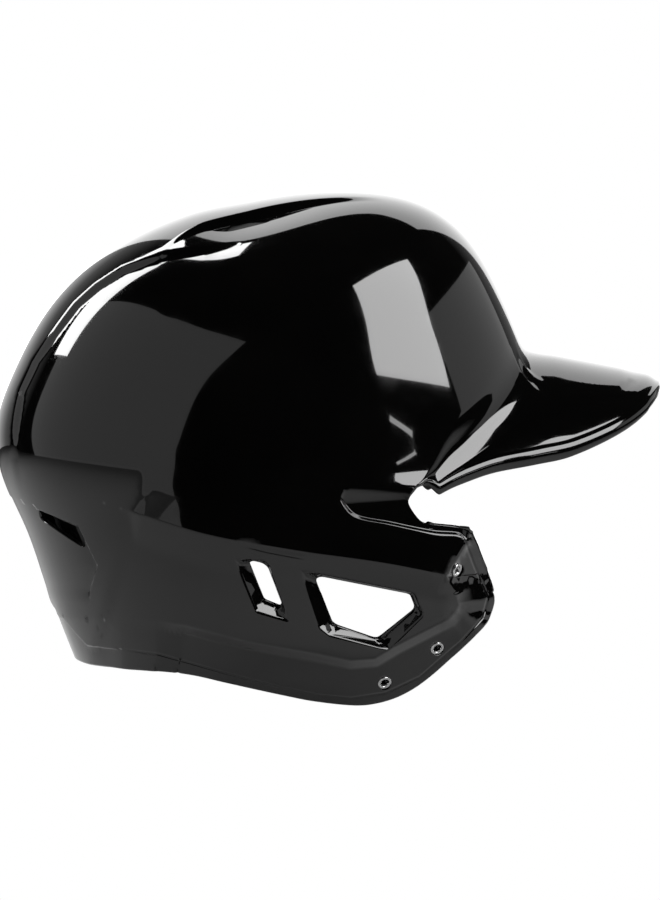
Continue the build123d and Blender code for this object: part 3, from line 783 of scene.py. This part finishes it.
def add_bill(mesh, root):
    half = len(FANS) // 2
    outer, inner, normal = (
        np.vstack([root[RIGHT][i][:half], root[LEFT][i][::-1]]) for i in range(3)
    )
    arcs = np.concatenate([root[RIGHT][3][:, :half], root[LEFT][3][:, ::-1]], 1)
    cos, sin, turn, s0, z0 = FAN_COS, FAN_SIN, FAN_TURN, FAN_S, FAN_Z

    def top(s):
        return bill_top(FAN + s * cos, s * sin)

    lip = smooth((66 - turn) / 34)
    tuck = smooth((66 - turn) / 30) * (0.8 + 2.4 * cos**4)
    edge = upper(bill_reach(FANS), s0 + 2.5 + 0 * turn, 3.0)
    first = s0 + np.minimum(1.35 * FAN_SOFT, 0.5 * (edge - s0))
    below = out_along(FAN, 0.0, cos, sin, z0 - 1.0)
    a, d = np.stack([s0, z0], 1), np.stack([first, top(first)], 1)
    t0 = unit(np.stack([below - s0, -np.ones_like(s0)], 1))
    t1 = unit(np.stack([np.ones_like(s0), top(first + 0.5) - top(first - 0.5)], 1))
    size = np.linalg.norm(d - a, axis=1, keepdims=True) * 0.5
    b, c = a + t0 * size, d - t1 * size
    rows = []
    for k in range(FILLET + 1):
        t = k / FILLET
        point = (1 - t) ** 3 * a + 3 * t * (1 - t) ** 2 * b + 3 * t * t * (1 - t) * c + t**3 * d
        rows.append((point[:, 0], point[:, 1]))
    roll = np.maximum(first + 0.4 * (edge - first), edge - 8)

    def drop(s):
        return tuck * np.clip(1 - (edge - s) / 8, 0, 1) ** 2

    last = edge - 2.0 * np.clip((edge - s0) / 6, 0.3, 1)
    for k in range(1, 23):
        s = first + (roll - first) * k / 22
        rows.append((s, top(s) - drop(s)))
    for k in range(1, 9):
        s = roll + (last - roll) * k / 8
        rows.append((s, top(s) - drop(s)))
    high, low = top(last) - drop(last), top(edge) - 4 - 2.6 * lip
    for k in range(1, 9):
        t = math.pi * k / 8
        level = (high + low) / 2 + (high - low) / 2 * math.cos(t)
        rows.append((last + (edge - last) * math.sin(t), level))
    under = edge - 2.6 - 3.4 * lip
    rows.append((last - 1.2 * lip, low))
    rows.append((last - 2.2 * lip, low + 0.7 * lip))
    rows.append((under + 1.0, top(under) - 4.8))
    rows.append((under - 0.6, top(under) - 4.0))
    inside_s = np.minimum(s0 - WALL - 0.6, under - 1)
    for k in range(1, 13):
        s = under - 0.6 + (inside_s + 1.2 - under + 0.6) * k / 12
        rows.append((s, top(s) - 4.0))
    rows.append((inside_s + 0.2, top(inside_s) - 3.4))
    rows.append((inside_s - 0.2, top(inside_s) - 2.0))
    finish = np.hypot(inner[:, 0] - FAN, inner[:, 1])
    for k in range(1, 4):
        t = k / 3
        level = (top(inside_s) - 2.0) * (1 - t) + inner[:, 2] * t
        rows.append((inside_s + (finish - inside_s) * t, level))
    s = np.array([r[0] for r in rows])
    z = np.array([r[1] for r in rows])
    points = np.stack([FAN + s * cos, s * sin, z], -1)
    count = len(rows)
    # The ends of each column meet the dome exactly.
    ease = np.clip(1 - np.arange(count) / FILLET, 0, 1)[:, None, None]
    points += ease * (outer - points[0])
    ease = np.clip(1 - (count - 1 - np.arange(count)) / 5, 0, 1)[:, None, None]
    points += ease * (inner - points[-1])
    # Towards the temples the bill dies away into the plain rim.
    place = np.linspace(0, len(arcs) - 1, count)
    whole = np.minimum(place.astype(int), len(arcs) - 2)
    part = (place - whole)[:, None, None]
    plain = arcs[whole] * (1 - part) + arcs[whole + 1] * part
    blend = smooth((turn - 66) / 7)[None, :, None]
    points = points * (1 - blend) + plain * blend
    down = np.gradient(points, axis=0)
    along = np.gradient(points, axis=1)
    normals = unit(np.cross(down, along))
    if np.sum(normals[12] * np.array([0, 0, 1.0])) < 0:
        normals = -normals
    normals[0] = normal
    mesh.grid(points, normals)


# ---- materials ------------------------------------------------------------------------------
def material(name, roughness, **sockets):
    made = bpy.data.materials.new(name)
    made.use_nodes = True
    shader = made.node_tree.nodes["Principled BSDF"]
    shader.inputs["Roughness"].default_value = roughness
    for key, value in sockets.items():
        shader.inputs[key.replace("_", " ")].default_value = value
    return made, made.node_tree.nodes, made.node_tree.links, shader


def texture(nodes, links, kind, scale=None, **settings):
    place = nodes.new("ShaderNodeTexCoord")
    node = nodes.new(kind)
    if scale is not None:
        node.inputs["Scale"].default_value = scale
    for key, value in settings.items():
        node.inputs[key].default_value = value
    links.new(place.outputs["Object"], node.inputs["Vector"])
    return node


def ramp(nodes, links, source, stops):
    node = nodes.new("ShaderNodeValToRGB")
    elements = node.color_ramp.elements
    while len(elements) < len(stops):
        elements.new(0.5)
    for element, (position, colour) in zip(elements, stops):
        element.position = position
        element.color = (*colour, 1)
    links.new(source, node.inputs["Fac"])
    return node


def bumped(nodes, links, shader, height, strength, distance, before=None):
    node = nodes.new("ShaderNodeBump")
    node.inputs["Strength"].default_value = strength
    node.inputs["Distance"].default_value = distance
    links.new(height, node.inputs["Height"])
    if before is not None:
        links.new(before.outputs["Normal"], node.inputs["Normal"])
    links.new(node.outputs["Normal"], shader.inputs["Normal"])
    return node


def grey(value):
    return (value, value, value)


def gloss_black():
    made, nodes, links, shader = material(
        "gloss_black", 0.06, Coat_Weight=1.0, Coat_Roughness=0.015, Specular_IOR_Level=0.3
    )
    cloud = texture(nodes, links, "ShaderNodeTexNoise", 22, Detail=3.0)
    stops = [(0.3, (0.0012, 0.0012, 0.0012)), (0.7, (0.0022, 0.0021, 0.0020))]
    tint = ramp(nodes, links, cloud.outputs["Fac"], stops)
    links.new(tint.outputs["Color"], shader.inputs["Base Color"])
    wear = texture(nodes, links, "ShaderNodeTexNoise", 160, Detail=4.0)
    rough = ramp(nodes, links, wear.outputs["Fac"], [(0.35, grey(0.05)), (0.7, grey(0.09))])
    links.new(rough.outputs["Color"], shader.inputs["Roughness"])
    peel = texture(nodes, links, "ShaderNodeTexNoise", 90, Detail=1.0)
    bumped(nodes, links, shader, peel.outputs["Fac"], 0.05, 0.0004)
    return made


def chrome():
    made, nodes, links, shader = material("chrome", 0.15, Metallic=1.0)
    brushed = texture(nodes, links, "ShaderNodeTexNoise", 900, Detail=3.0)
    tint = ramp(nodes, links, brushed.outputs["Fac"], [(0.3, grey(0.62)), (0.7, grey(0.82))])
    links.new(tint.outputs["Color"], shader.inputs["Base Color"])
    rough = ramp(nodes, links, brushed.outputs["Fac"], [(0.3, grey(0.10)), (0.8, grey(0.26))])
    links.new(rough.outputs["Color"], shader.inputs["Roughness"])
    bumped(nodes, links, shader, brushed.outputs["Fac"], 0.15, 0.0001)
    return made


def rubber():
    made, nodes, links, shader = material("black_rubber", 0.7)
    grain = texture(nodes, links, "ShaderNodeTexNoise", 600, Detail=5.0)
    tint = ramp(nodes, links, grain.outputs["Fac"], [(0.3, grey(0.012)), (0.7, grey(0.022))])
    links.new(tint.outputs["Color"], shader.inputs["Base Color"])
    bumped(nodes, links, shader, grain.outputs["Fac"], 0.3, 0.0002)
    return made


def bead_foam():
    made, nodes, links, shader = material("bead_foam", 0.82)
    beads = texture(nodes, links, "ShaderNodeTexVoronoi", 330)
    tint = ramp(nodes, links, beads.outputs["Color"], [(0.1, grey(0.022)), (0.9, grey(0.042))])
    links.new(tint.outputs["Color"], shader.inputs["Base Color"])
    bumped(nodes, links, shader, beads.outputs["Distance"], 0.35, 0.0006).invert = True
    return made


def knit(name, dark, light, scale):
    made, nodes, links, shader = material(name, 0.92, Sheen_Weight=0.25, Sheen_Roughness=0.5)
    cells = texture(nodes, links, "ShaderNodeTexVoronoi", scale)
    tint = ramp(nodes, links, cells.outputs["Distance"], [(0.05, dark), (0.6, light)])
    links.new(tint.outputs["Color"], shader.inputs["Base Color"])
    first = bumped(nodes, links, shader, cells.outputs["Distance"], 0.6, 0.0004)
    fuzz = texture(nodes, links, "ShaderNodeTexNoise", scale * 3, Detail=4.0)
    bumped(nodes, links, shader, fuzz.outputs["Fac"], 0.3, 0.0002, first)
    return made


SHELL_LOOK, CHROME, RUBBER, FOAM = gloss_black(), chrome(), rubber(), bead_foam()
FABRIC = knit("pad_fabric", (0.008, 0.008, 0.009), (0.03, 0.03, 0.032), 900)
HOOK = knit("hook_tape", (0.01, 0.01, 0.01), (0.05, 0.05, 0.05), 1500)


def dress(piece, look):
    piece.data.materials.clear()
    piece.data.materials.append(look)


shell = shell_mesh().made("shell_body")
dress(shell, SHELL_LOOK)
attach(shell, "root")
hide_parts("outer_shell")


# ---- pads -----------------------------------------------------------------------------------
def head_layer(p, q, side, depth):
    return np.stack(base(p, q, side, depth), 1)


def flap_layer(p, q, side, depth):
    normal = skin_normals(p, q, side, False)
    return skin(p, q, side, False) - normal * np.reshape(depth, (-1, 1))


def to_layer(axes, guess, wanted, side, layer, depth):
    """Disc points whose place on a layer has the wanted X and Z, Y and Z, or X and Y."""
    step = 0.5
    for _ in range(40):
        place = layer(guess[:, 0], guess[:, 1], side, depth)
        du = (layer(guess[:, 0] + step, guess[:, 1], side, depth) - place)[:, axes] / step
        dv = (layer(guess[:, 0], guess[:, 1] + step, side, depth) - place)[:, axes] / step
        miss = wanted - place[:, axes]
        det = du[:, 0] * dv[:, 1] - dv[:, 0] * du[:, 1]
        det = np.where(np.abs(det) < 1e-3, 1e-3, det)
        a = (miss[:, 0] * dv[:, 1] - dv[:, 0] * miss[:, 1]) / det
        b = (du[:, 0] * miss[:, 1] - miss[:, 0] * du[:, 1]) / det
        move = np.stack([a, b], 1)
        size = np.linalg.norm(move, axis=1, keepdims=True)
        guess = guess + move * np.minimum(1, 4 / np.maximum(size, 1e-9))
    # A point that found no place is left out of the outline.
    place = layer(guess[:, 0], guess[:, 1], side, depth)
    return guess[np.linalg.norm(wanted - place[:, axes], axis=1) < 0.6]


def cushion(name, outline, start, axes, side, layer, near, far, seed):
    """A stitched pad between two depths, full in the middle and drawn in at its seam."""
    outline = softened(outline, 7.0, 1.6)
    start = np.tile(np.array(start, float), (len(outline), 1))
    loop = clockwise(to_layer(axes, start, outline, side, layer, (near + far) / 2), False)
    flat, faces = triangles(loop, (), (), 1.9)
    p, q = flat.T
    gap = np.abs(away(p, q, loop, True)[0])
    full = np.sqrt(1 - (1 - np.clip(gap / 5.5, 0, 1)) ** 2)
    quilt = np.random.default_rng(seed).uniform(0, 6.28, 4)
    ripple = 0.22 * np.sin(p * 0.33 + quilt[0]) * np.sin(q * 0.29 + quilt[1]) + 0.1 * np.sin(
        p * 0.8 + q * 0.55 + quilt[2])
    pucker = 0.16 * np.sin(gap * 0.2 + (p - q) * 1.1 + quilt[3]) * np.exp(-gap / 3)
    seam = 0.55 * np.exp(-(((gap - 3.2) / 0.7) ** 2))
    middle = near + 0.45 * (far - near)
    front = middle + 0.25 + (far - middle - 0.25) * full + (ripple + pucker) * full - seam
    back = middle - 0.25 - (middle - 0.25 - near - 0.15) * full
    mesh = Mesh()
    blank = np.zeros((len(p), 3))
    mesh.add(layer(p, q, side, front), blank, faces, side == RIGHT)
    mesh.add(layer(p, q, side, back), blank, faces, side == LEFT)
    p, q = loop.T
    depths = (middle - 0.25, middle, middle + 0.25)
    rings = np.stack([layer(p, q, side, np.full(len(p), d)) for d in depths])
    mesh.grid(rings, np.zeros_like(rings), side == RIGHT, True)
    piece = mesh.made(name, False)
    outward(piece, WELD)
    dress(piece, FABRIC)
    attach(piece, "root")
    return piece


def oval(middle, long_x, long_y):
    turns = np.linspace(0, 2 * math.pi, 29)[:-1]
    return np.stack([middle + long_x * np.cos(turns), long_y * np.sin(turns)], 1)


# Outlines as X and Z, Y and Z, or X and Y, as the pad is best seen.
BROW_PAD = [(-33, 160), (33, 160), (31, 181), (-31, 181)]
TEMPLE_PAD = [
    (40, 157), (52, 149), (64, 130), (73.5, 123), (73.5, 147), (64, 160), (46, 176), (40, 176),
]
SIDE_PAD = [(-32, 110), (44, 112), (42, 136), (30, 152), (-24, 152), (-34, 138)]
REAR_PAD = [(7, 62), (38, 66), (60, 84), (64, 112), (58, 138), (40, 148), (7, 148)]
EAR_PAD = [(-58, 36), (-44, 24), (-14, 20), (-11, 44), (-12, 74), (-20, 84), (-40, 84), (-54, 66)]
EAR_TOP_PAD = [(-4, 71), (40, 66), (62, 62), (64, 76), (54, 90), (-2, 92), (-12, 86)]
JAW_PAD = [(-4, 18), (28, 12), (43, 12), (46, 27), (29, 33), (22, 42), (12, 40), (0, 42)]
# How deep under the shell's face a pad lies, from its back to its front.
HEAD_DEPTHS, FLAP_DEPTHS = (15.2, 21.7), (5.6, 13.5)
ALONG, AHEAD, ABOVE = (0, 2), (1, 2), (0, 1)


def pad(name, node, outline, start, axes, side, layer, depths, seed):
    outline = np.array(outline, float)
    if side == RIGHT and axes == AHEAD:
        outline = outline * (-1, 1)
    piece = cushion(name, outline, disc_at(*start), list(axes), side, layer, *depths, seed)
    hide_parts(node)


pad("brow_cushion", "brow_pad", BROW_PAD, (90, 0, 170), AHEAD, LEFT, head_layer, HEAD_DEPTHS, 1)
for seed, word, outline, start in (
    (2, "front", oval(50, 22, 30), (50, 0, 200)), (3, "rear", oval(-8, 26, 30), (-8, 0, 220)),
):
    names = f"crown_cushion_{word}", f"crown_pad_{word}"
    pad(*names, outline, start, ABOVE, LEFT, head_layer, HEAD_DEPTHS, seed)
for seed, (word, side) in enumerate((("left", LEFT), ("right", RIGHT)), 4):
    for place, outline, start, axes, later in (
        ("temple", TEMPLE_PAD, (85, 60, 145), AHEAD, 0), ("side", SIDE_PAD, (0, 90, 130), ALONG, 2),
        ("rear", REAR_PAD, (-105, 35, 110), AHEAD, 4),
    ):
        names = f"{place}_cushion_{word}", f"{place}_pad_{word}"
        pad(*names, outline, start, axes, side, head_layer, HEAD_DEPTHS, seed + later)
for seed, word, outline, start in (
    (10, "ear", EAR_PAD, (-35, 90, 55)), (11, "ear_top", EAR_TOP_PAD, (25, 90, 78)),
    (12, "jaw", JAW_PAD, (20, 90, 28)),
):
    names = word + "_cushion", word + "_pad"
    pad(*names, outline, start, ALONG, RIGHT, flap_layer, FLAP_DEPTHS, seed)

# ---- inserts --------------------------------------------------------------------------------
# Turned and plated steel sleeves. Each one's profile as radius and height over the shell's face.
SLEEVE = [(3.1, -0.9), (3.1, -0.1), (2.95, 0.12), (2.75, 0.2), (2.2, 0.2), (2.05, 0.12), (1.9, -0.15)]
SLEEVE += [(1.72 + 0.13 * (-1) ** k, -0.4 - 0.3 * k) for k in range(10)]


def sleeves():
    mesh = Mesh()
    for seat in SEATS:
        ring = skin(*line_to_disc(circle(seat, 3.6)[:-1]).T, RIGHT)
        middle = ring.mean(0)
        axis = unit(np.cross(ring[0] - middle, ring[6] - middle)[None])[0]
        axis = axis if axis[1] < 0 else -axis
        one = unit(np.cross(axis, (0, 0, 1.0))[None])[0]
        two = np.cross(axis, one)
        turns = np.linspace(0, 2 * math.pi, 49)[:-1]
        round_it = np.cos(turns)[:, None] * one + np.sin(turns)[:, None] * two
        rows = np.array([middle + r * round_it + h * axis for r, h in SLEEVE])
        mesh.grid(rows, np.zeros_like(rows), False, True)
    piece = mesh.made("insert_sleeves", False)
    outward(piece)
    dress(piece, CHROME)
    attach(piece, "root")
    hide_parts("jaw_inserts")


sleeves()

# ---- pieces kept from the frame -------------------------------------------------------------
for node, look, slot in (
    ("insert_covers", RUBBER, "covers"), ("hook_patches", HOOK, "hook"),
    ("liner_crown", FOAM, "liner"), ("liner_front", FOAM, "liner"), ("liner_left", FOAM, "liner"),
    ("liner_right", FOAM, "liner"), ("liner_rear", FOAM, "liner"),
):
    dress(frame["nodes"][node], look)

# ---- the room -------------------------------------------------------------------------------
MIDDLE = Vector((0.03, -0.03, 0.12))


def direction(azimuth, elevation):
    """Towards a place in the room: azimuth 0 is the wearer's right, and 90 ahead."""
    a, e = math.radians(azimuth), math.radians(elevation)
    return Vector((math.sin(a) * math.cos(e), -math.cos(a) * math.cos(e), math.sin(e)))


def card(name, azimuth, elevation, distance, wide, high, bright, turn=0.0):
    """A softbox facing the helmet; wide and high are the angles it fills, in degrees."""
    light = bpy.data.lights.new(name, "AREA")
    light.shape = "RECTANGLE"
    light.size = 2 * distance * math.tan(math.radians(wide / 2))
    light.size_y = 2 * distance * math.tan(math.radians(high / 2))
    light.energy = bright * math.pi * light.size * light.size_y
    lamp = bpy.data.objects.new(name, light)
    way = direction(azimuth, elevation)
    lamp.location = MIDDLE + way * distance
    lamp.rotation_mode = "QUATERNION"
    turned = Matrix.Rotation(math.radians(turn), 4, "Z").to_quaternion()
    lamp.rotation_quaternion = way.to_track_quat("Z", "Y") @ turned
    bpy.context.scene.collection.objects.link(lamp)


card("key_box", 52, 38, 1.3, 30, 40, 6.5)
card("front_card", 99, 21, 1.5, 56, 25, 0.5)
card("rear_strip", -118, 48, 1.3, 13, 46, 8.0, 20)
card("rear_card", -64, 23, 1.6, 86, 62, 0.40)
card("low_streak", 42, 9.5, 1.3, 8, 1.2, 4.0, -20)
card("back_card", 172, 32, 1.6, 56, 66, 1.7)

# A pale floor lies under the helmet, unseen by the camera. The room behind it is white.
bpy.ops.mesh.primitive_plane_add(size=6, location=(0, 0, -0.012))
floor = bpy.context.object
floor.name = "floor"
floor_look, nodes, links, shader = material("floor_painted_light_pool", 0.8)
# Painted light: the floor's colour is paler under the helmet and darker out to a metre from it, a painted
# pool of light rather than the paper's own tone.
painted_light_pool = texture(nodes, links, "ShaderNodeTexGradient")
painted_light_pool.gradient_type = "SPHERICAL"
stops = [(0.0, grey(0.24)), (0.45, grey(0.36)), (0.9, grey(0.52))]
tint = ramp(nodes, links, painted_light_pool.outputs["Fac"], stops)
links.new(tint.outputs["Color"], shader.inputs["Base Color"])
floor.data.materials.append(floor_look)
floor.visible_camera = False

world = bpy.data.worlds.new("room")
bpy.context.scene.world = world
world.use_nodes = True
wn, wl = world.node_tree.nodes, world.node_tree.links
bright = wn["Background"]
bright.inputs["Color"].default_value = (1, 1, 1, 1)
bright.inputs["Strength"].default_value = 1.0
room = wn.new("ShaderNodeBackground")
place = wn.new("ShaderNodeTexCoord")
split = wn.new("ShaderNodeSeparateXYZ")
wl.new(place.outputs["Generated"], split.inputs["Vector"])
# The room as the helmet mirrors it: dark on the camera's side, pale behind.
stops = [(0.0, grey(0.002)), (0.5, grey(0.004)), (0.75, grey(0.2)), (1.0, grey(0.8))]
fade = ramp(wn, wl, split.outputs["Y"], stops)
wl.new(fade.outputs["Color"], room.inputs["Color"])
path = wn.new("ShaderNodeLightPath")
mix = wn.new("ShaderNodeMixShader")
wl.new(path.outputs["Is Camera Ray"], mix.inputs["Fac"])
wl.new(room.outputs["Background"], mix.inputs[1])
wl.new(bright.outputs["Background"], mix.inputs[2])
wl.new(mix.outputs["Shader"], wn["World Output"].inputs["Surface"])
bpy.context.scene.view_settings.view_transform = "Standard"

camera = bpy.data.cameras.new("camera")
camera.sensor_width = 36
camera.lens = 36 * 1580 / 414
camera.clip_end = 20
eye = bpy.data.objects.new("camera", camera)
eye.location = (0.030, -1.58, 0.1124)
eye.rotation_euler = (math.pi / 2, 0, 0)
bpy.context.scene.collection.objects.link(eye)
bpy.context.scene.camera = eye
